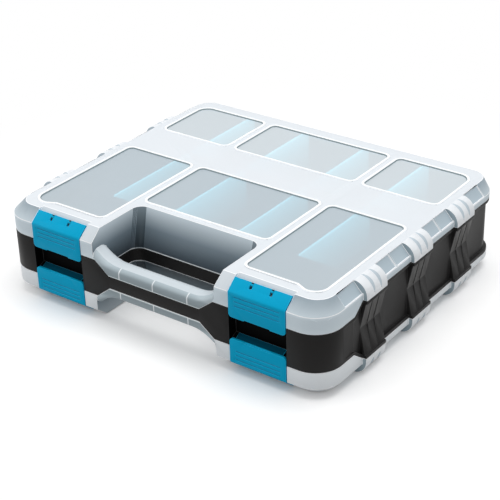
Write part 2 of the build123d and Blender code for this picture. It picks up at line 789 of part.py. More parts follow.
with BuildPart() as tray_half:
    # Outer wall, low enough at the front for the lid's skirt, with the lip that the skirt rests over
    extrude(skirt_plan(middle, tray_inset), amount=rim_z - middle)
    extrude(skirt_plan(middle, tray_inset + tray_wall), amount=rim_z - middle, mode=Mode.SUBTRACT)
    above = profile(Plane.YZ, *front_line, (step_rear_y, box_height), (front_line[0][0], box_height))
    extrude(above, amount=skirt_x, both=True, mode=Mode.SUBTRACT)
    with Locations((0, front_y, middle)):
        Box(skirt_width, 2 * (step_front_y - corner_run - front_y), box_height, mode=Mode.SUBTRACT)
    add(corner_wall.part)
    add(lip.part)
    # Pilasters under the lid columns, waisted at mid height and grooved
    pilaster_top = side_parting_z - parting_gap
    flare_z = pilaster_top - lip_height
    flare_x = column_x - pilaster_lip
    for side in sides:
        for y in column_places:
            post = profile(
                side_plane(side, y),
                (chamber_x, middle),
                (tray_x, middle),
                (flare_x, flare_z),
                (column_x, flare_z),
                (column_x, pilaster_top),
                (chamber_x, pilaster_top),
            )
            extrude(post, amount=column_width / 2, both=True)
            for way in sides:
                groove = profile(
                    side_plane(side, y + way * lobe_pitch / 2),
                    (tray_x, middle),
                    (flare_x, flare_z),
                    (flare_x - pilaster_groove_depth, flare_z),
                    (tray_x - pilaster_groove_depth, middle),
                )
                extrude(groove, amount=pilaster_groove_width / 2, both=True, mode=Mode.SUBTRACT)
    # Floor, opened at the handle
    extrude(skirt_plan(middle, tray_inset), amount=tray_floor / 2)
    extrude(rim_plan(0), amount=box_height, both=True, mode=Mode.SUBTRACT)
    add(handle_core.part)
    # Latch bays with their side walls and catches
    bay_top = front_parting_z - parting_gap
    add(inner_wall.part)
    for side in sides:
        for way in sides:
            wall_x = side * latch_x + way * (seat_half + bay_wall / 2)
            with Locations((wall_x, (front_y + tray_inset + inner_front_y) / 2, (middle + bay_top) / 2)):
                Box(bay_wall, inner_front_y - front_y - tray_inset, bay_top - middle)
        with Locations((side * latch_x, inner_front_y - beyond / 2, box_height / 2)):
            Box(2 * seat_half, beyond, box_height, mode=Mode.SUBTRACT)
        catch_y = inner_front_y - catch_stand
        catch = profile(
            Plane.YZ.offset(side * latch_x),
            (inner_front_y, bay_top),
            (catch_y, bay_top),
            (catch_y, hook_z(catch_y) + catch_gap),
            (inner_front_y, hook_z(inner_front_y) + catch_gap),
        )
        extrude(catch, amount=seat_half, both=True)
    add(partitions.part)
    # Hinge knuckles at the rear
    for side in sides:
        knuckle_plane = Plane.YZ.offset(side * tray_knuckle_x)
        arm = profile(
            knuckle_plane,
            (chamber_rear_y, hinge_z),
            (hinge_y, hinge_z),
            (hinge_y, hinge_z - knuckle_radius),
            (chamber_rear_y, hinge_z - hinge_arm_drop),
        )
        extrude(arm, amount=tray_knuckle_length / 2, both=True)
        knuckle = disc(knuckle_plane, knuckle_radius, hinge_y, hinge_z)
        extrude(knuckle, amount=tray_knuckle_length / 2, both=True)
    tray_bore = disc(Plane.YZ, hinge_pin_radius + hinge_pin_fit, hinge_y, hinge_z)
    extrude(tray_bore, amount=skirt_x, both=True, mode=Mode.SUBTRACT)

with BuildPart() as tray_body:
    add(tray_half.part)
    add(tray_half.part.mirror(mirror_plane))
    for (level, row), places in divider_places.items():
        slots = divider_slots(row, places)
        add(slots if level == "upper" else slots.mirror(mirror_plane), mode=Mode.SUBTRACT)

os.makedirs("parts", exist_ok=True)
named_parts = {
    "tray_body": tray_body.part,
    "upper_lid": upper_lid.part,
    "lower_lid": lower_lid.part,
    "upper_right_latch": upper_right_latch.part,
    "upper_left_latch": upper_left_latch.part,
    "lower_right_latch": lower_right_latch.part,
    "lower_left_latch": lower_left_latch.part,
}

# Hinge pins, one along the rear of each lid
with BuildPart() as upper_hinge_pin:
    pin_round = disc(Plane.YZ, hinge_pin_radius, hinge_y, hinge_z)
    extrude(pin_round, amount=tray_knuckle_x + tray_knuckle_length / 2, both=True)
with BuildPart() as lower_hinge_pin:
    add(upper_hinge_pin.part.mirror(mirror_plane))
named_parts["upper_hinge_pin"] = upper_hinge_pin.part
named_parts["lower_hinge_pin"] = lower_hinge_pin.part

for (level, row), places in divider_places.items():
    start, stop = row_spans[row]
    for number, x in enumerate(places, 1):
        divider_top = lid_under_z - divider_gap
        with BuildPart() as divider:
            with BuildSketch(Plane.YZ.offset(x)) as plate:
                with Locations(((start + stop) / 2, (floor_z + divider_top) / 2)):
                    reach = slot_depth - divider_clearance
                    Rectangle(stop - start + 2 * reach, divider_top - floor_z)
                chamfer(vertices().group_by(Axis.Y)[-1], divider_corner)
            extrude(plate.sketch, amount=divider_thickness / 2, both=True)
        shape = divider.part if level == "upper" else divider.part.mirror(mirror_plane)
        named_parts[f"{level}_{row}_divider_{number}"] = shape

for name, shape in named_parts.items():
    shape.label = name
    export_step(shape, f"parts/{name}.step")
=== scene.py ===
from math import cos, radians, sin, sqrt

import bpy
from mathutils import Matrix, Vector


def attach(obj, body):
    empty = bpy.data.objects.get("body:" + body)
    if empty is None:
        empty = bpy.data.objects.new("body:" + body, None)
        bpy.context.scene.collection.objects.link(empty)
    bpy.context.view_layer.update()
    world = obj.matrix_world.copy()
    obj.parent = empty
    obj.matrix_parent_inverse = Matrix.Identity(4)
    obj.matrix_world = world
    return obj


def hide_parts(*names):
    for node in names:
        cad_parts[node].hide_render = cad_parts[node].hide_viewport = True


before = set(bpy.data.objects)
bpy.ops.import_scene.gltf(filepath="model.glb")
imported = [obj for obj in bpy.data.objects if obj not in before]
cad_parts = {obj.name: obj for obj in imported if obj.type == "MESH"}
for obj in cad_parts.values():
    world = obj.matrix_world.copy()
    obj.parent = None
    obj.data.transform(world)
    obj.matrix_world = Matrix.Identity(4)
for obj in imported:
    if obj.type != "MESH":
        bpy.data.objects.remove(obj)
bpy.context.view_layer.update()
mm = 0.001
scene = bpy.context.scene
boxHeight = 79.0
middle = boxHeight / 2
merge = {"doubles": 0.002, "flatAngle": 0.4}  # for copies of CAD nodes, in mm and degrees
closeBy = 0.05  # how near a face or point counts as being at a place, in mm


# small helpers

def deselectAll():
    if bpy.context.object and bpy.context.object.mode != "OBJECT":
        bpy.ops.object.mode_set(mode="OBJECT")
    bpy.ops.object.select_all(action="DESELECT")


def makeActive(piece):
    deselectAll()
    piece.select_set(True)
    bpy.context.view_layer.objects.active = piece


def editFaces(piece, test):
    # enter edit mode in face mode with only the faces that pass the test selected
    makeActive(piece)
    bpy.ops.object.mode_set(mode="EDIT")
    bpy.ops.mesh.select_mode(type="FACE")
    bpy.ops.mesh.select_all(action="DESELECT")
    bpy.ops.object.mode_set(mode="OBJECT")
    for face in piece.data.polygons:
        face.select = test(face.center / mm, face.normal)
    bpy.ops.object.mode_set(mode="EDIT")


def editVertices(piece, test):
    makeActive(piece)
    bpy.ops.object.mode_set(mode="EDIT")
    bpy.ops.mesh.select_mode(type="VERT")
    bpy.ops.mesh.select_all(action="DESELECT")
    bpy.ops.object.mode_set(mode="OBJECT")
    for point in piece.data.vertices:
        point.select = test(point.co / mm)
    bpy.ops.object.mode_set(mode="EDIT")


def leaveEdit():
    bpy.ops.object.mode_set(mode="OBJECT")


def mergedCopy(nodeName, pieceName):
    # a copy of a CAD node with its loose triangles joined into plain faces
    piece = bpy.data.objects.new(pieceName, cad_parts[nodeName].data.copy())
    piece.data.name = pieceName
    scene.collection.objects.link(piece)
    piece.data.materials.clear()
    editFaces(piece, lambda centre, normal: True)
    bpy.ops.mesh.remove_doubles(threshold=merge["doubles"] * mm)
    bpy.ops.mesh.dissolve_limited(angle_limit=radians(merge["flatAngle"]))
    leaveEdit()
    return piece


def roundEdges(piece, sizes, edgeHighlightSlot):
    # bevel the sharp edges, with the width, segments and angle of the piece's own dictionary; the
    # bevel faces get the edge slot's lighter material, a painted highlight
    makeActive(piece)
    angle = radians(sizes["edgeAngle"])
    bpy.ops.object.modifier_add(type="BEVEL")
    bevel = piece.modifiers[-1]
    bevel.width = sizes["edgeWidth"] * mm
    bevel.segments = sizes["edgeSegments"]
    bevel.limit_method = "ANGLE"
    bevel.angle_limit = angle
    bevel.use_clamp_overlap = False
    bevel.miter_outer = "MITER_ARC"
    bevel.material = edgeHighlightSlot
    bpy.ops.object.modifier_apply(modifier=bevel.name)
    bpy.ops.object.shade_smooth_by_angle(angle=angle)


def slotOf(looks, name):
    return list(looks).index(name)


def setMaterials(piece, looks, pick):
    # looks gives a material for each name, and pick names the look of a face
    piece.data.materials.clear()
    for material in looks.values():
        piece.data.materials.append(material)
    for face in piece.data.polygons:
        face.material_index = slotOf(looks, pick(face.center / mm, face.normal))


def repaint(piece, slot, test):
    for face in piece.data.polygons:
        if test(face.center / mm, face.normal):
            face.material_index = slot


# shader groups and materials

def newGroup(name, inputs, outputs):
    group = bpy.data.node_groups.new(name, "ShaderNodeTree")
    for label, kind, value in inputs:
        socket = group.interface.new_socket(name=label, in_out="INPUT", socket_type=kind)
        socket.default_value = value
    for label, kind in outputs:
        group.interface.new_socket(name=label, in_out="OUTPUT", socket_type=kind)
    return group, group.nodes.new("NodeGroupInput"), group.nodes.new("NodeGroupOutput")


noiseDetail = {"cloud": 3, "grain": 2}


def mouldedGroup():
    # moulded plastic: soft cloudiness in the colour, a fine grain for the bump and uneven polish
    group, given, result = newGroup(
        "mouldedPlastic",
        [
            ("Colour", "NodeSocketColor", (0.8, 0.8, 0.8, 1)),
            ("Cloud Colour", "NodeSocketColor", (0.7, 0.7, 0.7, 1)),
            ("Cloud Scale", "NodeSocketFloat", 20.0),
            ("Cloud Amount", "NodeSocketFloat", 0.5),
            ("Grain Scale", "NodeSocketFloat", 900.0),
            ("Roughness", "NodeSocketFloat", 0.4),
            ("Polish", "NodeSocketFloat", 0.1),
        ],
        [
            ("Colour", "NodeSocketColor"),
            ("Roughness", "NodeSocketFloat"),
            ("Height", "NodeSocketFloat"),
        ],
    )
    nodes, links = group.nodes, group.links
    place = nodes.new("ShaderNodeTexCoord")
    cloud = nodes.new("ShaderNodeTexNoise")
    cloud.inputs["Detail"].default_value = noiseDetail["cloud"]
    grain = nodes.new("ShaderNodeTexNoise")
    grain.inputs["Detail"].default_value = noiseDetail["grain"]
    amount = nodes.new("ShaderNodeMath")
    amount.operation = "MULTIPLY"
    blend = nodes.new("ShaderNodeMix")
    blend.data_type = "RGBA"
    polish = nodes.new("ShaderNodeMath")
    polish.operation = "MULTIPLY_ADD"
    links.new(place.outputs["Object"], cloud.inputs["Vector"])
    links.new(place.outputs["Object"], grain.inputs["Vector"])
    links.new(given.outputs["Cloud Scale"], cloud.inputs["Scale"])
    links.new(given.outputs["Grain Scale"], grain.inputs["Scale"])
    links.new(cloud.outputs["Fac"], amount.inputs[0])
    links.new(given.outputs["Cloud Amount"], amount.inputs[1])
    links.new(amount.outputs[0], blend.inputs["Factor"])
    links.new(given.outputs["Colour"], blend.inputs["A"])
    links.new(given.outputs["Cloud Colour"], blend.inputs["B"])
    links.new(cloud.outputs["Fac"], polish.inputs[0])
    links.new(given.outputs["Polish"], polish.inputs[1])
    links.new(given.outputs["Roughness"], polish.inputs[2])
    links.new(blend.outputs["Result"], result.inputs["Colour"])
    links.new(polish.outputs[0], result.inputs["Roughness"])
    links.new(grain.outputs["Fac"], result.inputs["Height"])
    return group


def heightGroup():
    # how far a point lies from mid height, from 0 at low to 1 at high; both halves of the box alike
    group, given, result = newGroup(
        "riseFromMiddle",
        [("Low", "NodeSocketFloat", 0.0), ("High", "NodeSocketFloat", 0.04)],
        [("Share", "NodeSocketFloat")],
    )
    nodes, links = group.nodes, group.links
    place = nodes.new("ShaderNodeTexCoord")
    split = nodes.new("ShaderNodeSeparateXYZ")
    shift = nodes.new("ShaderNodeMath")
    shift.operation = "SUBTRACT"
    shift.inputs[1].default_value = middle * mm
    rise = nodes.new("ShaderNodeMath")
    rise.operation = "ABSOLUTE"
    share = nodes.new("ShaderNodeMapRange")
    links.new(place.outputs["Object"], split.inputs[0])
    links.new(split.outputs["Z"], shift.inputs[0])
    links.new(shift.outputs[0], rise.inputs[0])
    links.new(rise.outputs[0], share.inputs["Value"])
    links.new(given.outputs["Low"], share.inputs["From Min"])
    links.new(given.outputs["High"], share.inputs["From Max"])
    links.new(share.outputs["Result"], result.inputs["Share"])
    return group


def ribGroup():
    # narrow lines across the handle, from 0 between its inner ribs to 1 over each of them
    group, given, result = newGroup(
        "ribLines",
        [("Pitch", "NodeSocketFloat", 0.03), ("Width", "NodeSocketFloat", 0.001)],
        [("Line", "NodeSocketFloat")],
    )
    nodes, links = group.nodes, group.links
    place = nodes.new("ShaderNodeTexCoord")
    split = nodes.new("ShaderNodeSeparateXYZ")
    away = nodes.new("ShaderNodeMath")
    away.operation = "PINGPONG"
    half = nodes.new("ShaderNodeMath")
    half.operation = "MULTIPLY"
    half.inputs[1].default_value = 0.5
    line = nodes.new("ShaderNodeMapRange")
    line.inputs["From Min"].default_value = 0
    line.inputs["To Min"].default_value = 1
    line.inputs["To Max"].default_value = 0
    links.new(place.outputs["Object"], split.inputs[0])
    links.new(given.outputs["Pitch"], half.inputs[0])
    links.new(split.outputs["X"], away.inputs[0])
    links.new(half.outputs[0], away.inputs[1])
    links.new(away.outputs[0], line.inputs["Value"])
    links.new(given.outputs["Width"], line.inputs["From Max"])
    links.new(line.outputs["Result"], result.inputs["Line"])
    return group


moulded = mouldedGroup()
riseFromMiddle = heightGroup()
ribLines = ribGroup()


def plastic(name, look):
    # a plastic material from a dictionary of its values; rise paints light and shade on it by
    # height through a ramp, ribs adds lines, glow makes it give off light of its own colour
    material = bpy.data.materials.new(name)
    material.use_nodes = True
    nodes, links = material.node_tree.nodes, material.node_tree.links
    shader = nodes["Principled BSDF"]
    surface = nodes.new("ShaderNodeGroup")
    surface.node_tree = moulded
    surface.inputs["Colour"].default_value = (*look["colour"], 1)
    surface.inputs["Cloud Colour"].default_value = (*look["cloud"], 1)
    surface.inputs["Cloud Scale"].default_value = look["cloudScale"]
    surface.inputs["Cloud Amount"].default_value = look["cloudAmount"]
    surface.inputs["Grain Scale"].default_value = look["grainScale"]
    surface.inputs["Roughness"].default_value = look["roughness"]
    surface.inputs["Polish"].default_value = look["polish"]
    bump = nodes.new("ShaderNodeBump")
    bump.inputs["Strength"].default_value = look["bump"]
    bump.inputs["Distance"].default_value = look["bumpDepth"] * mm
    links.new(surface.outputs["Height"], bump.inputs["Height"])
    links.new(bump.outputs["Normal"], shader.inputs["Normal"])
    links.new(surface.outputs["Roughness"], shader.inputs["Roughness"])
    colour = surface.outputs["Colour"]
    if "rise" in look:
        share = nodes.new("ShaderNodeGroup")
        share.node_tree = riseFromMiddle
        share.inputs["Low"].default_value = look["rise"][0] * mm
        share.inputs["High"].default_value = look["rise"][1] * mm
        ramp = nodes.new("ShaderNodeValToRGB")
        while len(ramp.color_ramp.elements) < len(look["ramp"]):
            ramp.color_ramp.elements.new(0.5)
        for element, (position, tone) in zip(ramp.color_ramp.elements, look["ramp"]):
            element.position = position
            element.color = (*tone, 1)
        tint = nodes.new("ShaderNodeMix")
        tint.data_type = "RGBA"
        tint.blend_type = "MULTIPLY"
        tint.inputs["Factor"].default_value = 1
        links.new(share.outputs["Share"], ramp.inputs["Fac"])
        links.new(ramp.outputs["Color"], tint.inputs["A"])
        links.new(colour, tint.inputs["B"])
        colour = tint.outputs["Result"]
    if "ribs" in look:
        lines = nodes.new("ShaderNodeGroup")
        lines.node_tree = ribLines
        lines.inputs["Pitch"].default_value = look["ribs"][0] * mm
        lines.inputs["Width"].default_value = look["ribs"][1] * mm
        over = nodes.new("ShaderNodeMix")
        over.data_type = "RGBA"
        over.inputs["B"].default_value = (*look["ribColour"], 1)
        links.new(lines.outputs["Line"], over.inputs["Factor"])
        links.new(colour, over.inputs["A"])
        colour = over.outputs["Result"]
    links.new(colour, shader.inputs["Base Color"])
    if "glow" in look:
        links.new(colour, shader.inputs["Emission Color"])
        shader.inputs["Emission Strength"].default_value = look["glow"]
    shader.inputs["IOR"].default_value = look["ior"]
    shader.inputs["Specular IOR Level"].default_value = look["specular"]
    shader.inputs["Alpha"].default_value = look["alpha"]
    shader.inputs["Metallic"].default_value = look["metallic"]
    return material


basePlastic = {
    "cloudScale": 25, "cloudAmount": 0.3, "grainScale": 1500, "roughness": 0.4, "polish": 0.08,
    "bump": 0.1, "bumpDepth": 0.1, "ior": 1.46, "specular": 0.5, "alpha": 1.0, "metallic": 0.0,
}
frostFrame = plastic("frostFrame", {
    **basePlastic, "colour": (0.77, 0.81, 0.85), "cloud": (0.71, 0.76, 0.81), "roughness": 0.42,
    "specular": 0.35, "alpha": 0.94,
})
# whiter plastic for the bevelled edges and the tops of the window beads: painted highlight
frostEdgeHighlight = plastic("frostEdgeHighlight", {
    **basePlastic, "colour": (0.92, 0.94, 0.96), "cloud": (0.88, 0.9, 0.93), "roughness": 0.35,
})
# the wall's ramp paints light by height: lighter near the parting line and towards the top
frostWall = plastic("frostWall", {
    **basePlastic, "colour": (0.66, 0.74, 0.79), "cloud": (0.58, 0.66, 0.72), "roughness": 0.38,
    "rise": (16, 30), "specular": 0.3, "alpha": 0.92,
    "ramp": [
        (0.0, (1.2, 1.2, 1.2)), (0.35, (1.05, 1.07, 1.08)), (0.8, (1.0, 1.02, 1.03)),
        (1.0, (1.15, 1.16, 1.17)),
    ],
})
# a lighter copy of the wall plastic for the lower lid's walls and slopes: painted light
frostLowerLit = plastic("frostLowerLit", {
    **basePlastic, "colour": (0.84, 0.88, 0.91), "cloud": (0.76, 0.81, 0.85), "roughness": 0.38,
    "specular": 0.3, "alpha": 0.92,
})
# the slope's ramp paints shade by height, darker towards the top
frostSlope = plastic("frostSlope", {
    **basePlastic, "colour": (0.66, 0.74, 0.79), "cloud": (0.6, 0.68, 0.74), "roughness": 0.35,
    "rise": (30, 39), "specular": 0.3, "alpha": 0.94,
    "ramp": [(0.0, (0.84, 0.86, 0.87)), (0.5, (0.64, 0.67, 0.69)), (1.0, (0.45, 0.49, 0.52))],
})
# a lighter copy of the frame plastic for the columns: painted light
frostColumnLit = plastic("frostColumnLit", {
    **basePlastic, "colour": (0.84, 0.87, 0.9), "cloud": (0.78, 0.82, 0.86), "roughness": 0.35,
    "specular": 0.35, "alpha": 0.96,
})
# dark plastic for the front ends of the right-hand columns: painted shade
columnEnd = plastic("columnEnd", {
    **basePlastic, "colour": (0.34, 0.42, 0.47), "cloud": (0.28, 0.36, 0.41), "specular": 0.25,
})
# darker plastic for the forward-facing column faces, groove sides and left-hand column ends among
# them: painted shade
columnGroove = plastic("columnGroove", {
    **basePlastic, "colour": (0.52, 0.6, 0.66), "cloud": (0.46, 0.54, 0.6), "roughness": 0.35,
    "specular": 0.3,
})
# darker plastic for the pockets between the columns: painted shade
frostPocketShade = plastic("frostPocketShade", {
    **basePlastic, "colour": (0.46, 0.55, 0.61), "cloud": (0.36, 0.45, 0.51), "roughness": 0.35,
    "specular": 0.3, "alpha": 0.95,
})
# the recess ramp paints a highlight line along the recess's lower edge, then shade deep in the
# recess that lightens towards the top
recessShadeRamp = [
    (0.0, (1.5, 1.4, 1.35)), (0.022, (1.5, 1.4, 1.35)), (0.032, (0.11, 0.13, 0.15)),
    (0.5, (0.3, 0.34, 0.37)), (1.0, (0.95, 0.96, 0.97)),
]
frostRecess = plastic("frostRecess", {
    **basePlastic, "colour": (0.62, 0.7, 0.75), "cloud": (0.54, 0.62, 0.68), "roughness": 0.3,
    "rise": (5.5, 39.5), "specular": 0.25, "alpha": 0.97, "ramp": recessShadeRamp,
})
# the recess's corners start darker still: painted shade
recessCorner = plastic("recessCorner", {
    **basePlastic, "colour": (0.2, 0.25, 0.28), "cloud": (0.17, 0.22, 0.25), "roughness": 0.3,
    "rise": (5.5, 39.5), "specular": 0.25, "ramp": recessShadeRamp,
})
# the handle's front is a darker copy of the frosted plastic, painted shade; its ramp adds a painted
# highlight along the lower edge and lightens towards the top
shadedHandleFront = plastic("shadedHandleFront", {
    **basePlastic, "colour": (0.46, 0.54, 0.58), "cloud": (0.38, 0.46, 0.5), "roughness": 0.3,
    "rise": (5.5, 14.5), "specular": 0.4, "alpha": 0.97,
    "ramp": [
        (0.0, (1.6, 1.55, 1.5)), (0.08, (1.5, 1.45, 1.4)), (0.12, (0.56, 0.58, 0.59)),
        (0.7, (0.66, 0.68, 0.69)), (1.0, (1.0, 1.0, 1.0)),
    ],
    "ribs": (33.5, 0.8), "ribColour": (0.9, 0.93, 0.95),
})
# the handle's crest is a darker copy too, less dark than the front: painted shade
shadedHandleCrest = plastic("shadedHandleCrest", {
    **basePlastic, "colour": (0.6, 0.66, 0.7), "cloud": (0.52, 0.59, 0.63), "roughness": 0.3,
    "specular": 0.4,
})
# a darker copy of the frosted plastic for the sloped faces between the corners: painted shade
blockSlope = plastic("blockSlope", {
    **basePlastic, "colour": (0.62, 0.67, 0.71), "cloud": (0.56, 0.62, 0.66), "roughness": 0.35,
    "specular": 0.3,
})
# the lower lid's recess: painted shade, darkest near the middle and white at the far end
lowerRecessShade = plastic("lowerRecessShade", {
    **basePlastic, "colour": (0.62, 0.7, 0.75), "cloud": (0.54, 0.62, 0.68), "roughness": 0.3,
    "rise": (5.5, 39.5), "specular": 0.2,
    "ramp": [(0.0, (0.1, 0.12, 0.13)), (0.5, (0.4, 0.44, 0.47)), (1.0, (1.0, 1.0, 1.0))],
})
clearWindow = plastic("clearWindow", {
    **basePlastic, "colour": (0.7, 0.8, 0.87), "cloud": (0.63, 0.74, 0.81), "roughness": 0.2,
    "polish": 0.05, "bump": 0.03, "specular": 0.3, "alpha": 0.64,
})
# a lighter copy of the window plastic for the rear row: painted reflection
rearWindow = plastic("rearWindow", {
    **basePlastic, "colour": (0.87, 0.95, 1.0), "cloud": (0.81, 0.9, 0.96), "roughness": 0.2,
    "polish": 0.05, "bump": 0.03, "specular": 0.3, "alpha": 0.66,
})
clearUnder = plastic("clearUnder", {
    **basePlastic, "colour": (0.78, 0.86, 0.90), "cloud": (0.72, 0.80, 0.85), "roughness": 0.3,
    "bump": 0.03, "specular": 0.2, "alpha": 0.1,
})
# dark plastic on the walls of the steps down to the windows and inside the beads: painted shade
windowStepShade = plastic("windowStepShade", {
    **basePlastic, "colour": (0.22, 0.28, 0.30), "cloud": (0.18, 0.23, 0.25),
})
webShade = plastic("webShade", {
    **basePlastic, "colour": (0.02, 0.03, 0.035), "cloud": (0.015, 0.02, 0.025), "specular": 0.1,
})
blackPlastic = plastic("blackPlastic", {
    **basePlastic, "colour": (0.011, 0.0105, 0.0105), "cloud": (0.016, 0.0155, 0.015),
    "cloudAmount": 0.6, "roughness": 0.4, "bump": 0.2, "specular": 0.13,
})
# a lighter copy of the black plastic for the pilaster faces that lean down: painted light
litBlackLeaf = plastic("litBlackLeaf", {
    **basePlastic, "colour": (0.05, 0.049, 0.048), "cloud": (0.042, 0.041, 0.04), "roughness": 0.4,
    "bump": 0.2, "specular": 0.2,
})
# lighter black for the tray's bevelled edges: painted highlight
blackEdgeHighlight = plastic("blackEdgeHighlight", {
    **basePlastic, "colour": (0.02, 0.02, 0.02), "cloud": (0.024, 0.024, 0.024), "roughness": 0.38,
    "specular": 0.24,
})
# near black inside the bay between the latches: painted shade
blackBayShade = plastic("blackBayShade", {
    **basePlastic, "colour": (0.002, 0.002, 0.002), "cloud": (0.0015, 0.0015, 0.0015),
    "specular": 0.02,
})
cyanPlastic = plastic("cyanPlastic", {
    **basePlastic, "colour": (0.001, 0.36, 0.6), "cloud": (0.001, 0.31, 0.53), "roughness": 0.4,
    "specular": 0.07,
})
# lighter cyan for the latches' bevelled edges: painted highlight
cyanEdgeHighlight = plastic("cyanEdgeHighlight", {
    **basePlastic, "colour": (0.01, 0.44, 0.7), "cloud": (0.01, 0.38, 0.62), "roughness": 0.3,
    "specular": 0.15,
})
# dark cyan on the latch's hook: painted shade
cyanHookShade = plastic("cyanHookShade", {
    **basePlastic, "colour": (0.001, 0.07, 0.12), "cloud": (0.001, 0.05, 0.09), "specular": 0.05,
})
# darker cyan in the latch's grip grooves: painted shade
cyanGrooveShade = plastic("cyanGrooveShade", {
    **basePlastic, "colour": (0.001, 0.11, 0.24), "cloud": (0.001, 0.09, 0.2), "specular": 0.2,
})
# the dividers' ramp paints shade low down and a highlight at the top edge, and glow makes them give
# off light: painted light
blueDivider = plastic("blueDivider", {
    **basePlastic, "colour": (0.2, 0.8, 0.97), "cloud": (0.16, 0.76, 0.94), "roughness": 0.3,
    "rise": (6, 37), "specular": 0.3, "alpha": 0.92, "glow": 0.5,
    "ramp": [
        (0.0, (0.12, 0.14, 0.15)), (0.5, (0.4, 0.42, 0.43)), (0.93, (0.75, 0.76, 0.77)),
        (1.0, (1.2, 1.1, 1.05)),
    ],
})
steelPin = plastic("steelPin", {
    **basePlastic, "colour": (0.6, 0.6, 0.62), "cloud": (0.5, 0.5, 0.52), "roughness": 0.25,
    "metallic": 1.0,
})
print("materials made")


# lids

lid = {
    "edgeWidth": 0.35, "edgeSegments": 2, "edgeAngle": 28, "topSink": 0.5,
    "windowLevel": 77.8, "rowWallY": 31.5, "rimReach": 0.1, "stepReach": 0.4, "stepMargin": 0.02,
    "topX": 148.0, "cornerX": 124.0, "sideMargin": 0.1, "columnPlaces": (-68.0, -0.6, 66.8),
    "columnHalf": 14.0, "shoulder": (156.5, 69.5), "slope": (0.745, 0.667), "pocketDepth": 0.5,
    "latchX": 98.0, "webX": 9.0, "webY": -117.0, "webReach": 1.3,
    "barBackY": -116.5, "recessX": (57.5, 60.6), "recessY": (-84.0, -73.0),
}
turn = {  # how far a face's normal leans, as a share of 1
    "flat": 0.99, "square": 0.9, "upright": 0.1, "outward": 0.05, "wall": 0.5, "corner": 0.2,
    "crest": 0.25, "groove": 0.2, "pocketSide": 0.7, "pocketUp": 0.6, "slope": 0.3,
}
beads = {
    "setBack": 0.25, "width": 2.3, "depth": 0.3, "reach": 0.1,
    "edgeWidth": 0.3, "edgeSegments": 3, "edgeAngle": 40,
}
beadLooks = {"top": frostEdgeHighlight, "inner": windowStepShade}
windowBoxes = [  # half the windows, the rest lie at -x: lowest x and y, highest x and y
    (-60.2, -66, 60.2, 8), (-60.2, 55, 60.2, 114), (70, -111.5, 138.6, 8), (70, 55, 138.6, 114),
]


def isWindow(centre, normal):
    return abs(centre.z - lid["windowLevel"]) < closeBy and normal.z > turn["flat"]


def isTop(centre, normal):
    return centre.z > boxHeight - closeBy and normal.z > turn["flat"]


def nearWindow(centre, reach):
    return any(
        x0 - reach < abs(centre.x) < x1 + reach and y0 - reach < centre.y < y1 + reach
        for x0, y0, x1, y1 in windowBoxes
    )


lidLooks = {
    "frame": frostFrame, "edge": frostEdgeHighlight, "wall": frostWall, "slope": frostSlope,
    "column": frostColumnLit, "columnEnd": columnEnd, "columnGroove": columnGroove,
    "pocket": frostPocketShade, "recess": frostRecess, "recessCorner": recessCorner,
    "handle": shadedHandleFront, "crest": shadedHandleCrest, "blockSlope": blockSlope,
    "window": clearWindow, "rearWindow": rearWindow, "under": clearUnder,
    "rim": windowStepShade, "web": webShade,
}


def topLook(centre, normal):
    if isWindow(centre, normal):
        return "rearWindow" if centre.y > lid["rowWallY"] else "window"
    if isTop(centre, normal):
        return "frame"
    upright = abs(normal.z) < turn["upright"]
    if upright and centre.z > lid["windowLevel"] and nearWindow(centre, lid["rimReach"]):
        return "rim"
    return None


def isWeb(centre, normal):
    # the two webs that hold the bar of each latch
    across = abs(abs(abs(centre.x) - lid["latchX"]) - lid["webX"])
    return across < lid["webReach"] and centre.y < lid["webY"] and centre.z > lid["shoulder"][1]


def isStep(centre, normal):
    # the step from the top down to a window
    low = lid["windowLevel"] + lid["stepMargin"]
    high = boxHeight - lid["topSink"] - lid["stepMargin"]
    return low < centre.z < high and nearWindow(centre, lid["stepReach"])


def frontLook(centre, normal):
    # the handle, the walls of its recess and the webs in the latch slots
    x, inward = abs(centre.x), -normal.x * (1 if centre.x > 0 else -1)
    if isWeb(centre, normal):
        return "web"
    inRecessX = lid["recessX"][0] < x < lid["recessX"][1]
    behind = x < lid["recessX"][1] and lid["recessY"][0] < centre.y < lid["recessY"][1]
    if behind and normal.y < -turn["corner"] and inward > turn["corner"]:
        return "recessCorner"
    if (inRecessX and inward > turn["wall"]) or (behind and normal.y < -turn["wall"]):
        return "recess"
    ofBar = centre.y < lid["barBackY"] + lid["sideMargin"] and centre.z < lid["shoulder"][1]
    if ofBar and x < lid["recessX"][1]:
        return "crest" if normal.y > -turn["crest"] and normal.z > 0 else "handle"
    return None


def sideLook(centre, normal):
    # the columns along both sides, the pockets between them and the sloping edge
    x, outward = abs(centre.x), normal.x * (1 if centre.x > 0 else -1)
    columnReach = lid["columnHalf"] + closeBy
    atColumn = any(abs(centre.y - place) < columnReach for place in lid["columnPlaces"])
    squareOn = abs(normal.y) > turn["square"] or normal.z > turn["square"]
    ofColumn = atColumn and (outward > turn["outward"] or squareOn)
    if ofColumn and x > lid["topX"] + lid["sideMargin"]:
        # the front ends of the right-hand columns get the darker painted shade; other
        # forward-facing column faces, the left-hand ends among them, get the lighter painted shade
        if normal.y < -turn["square"] and centre.x > 0:
            return "columnEnd"
        return "columnGroove" if normal.y < -turn["groove"] else "column"
    shoulderX, shoulderZ = lid["shoulder"]
    below = (x - shoulderX) * lid["slope"][0] + (centre.z - shoulderZ) * lid["slope"][1]
    if outward > turn["pocketSide"] and normal.z > turn["pocketUp"] and below < -lid["pocketDepth"]:
        return "pocket"
    if turn["slope"] < normal.z < turn["square"] and centre.z > shoulderZ:
        return "slope" if x > lid["cornerX"] else "blockSlope"
    return "under" if normal.z < -turn["square"] else "wall"


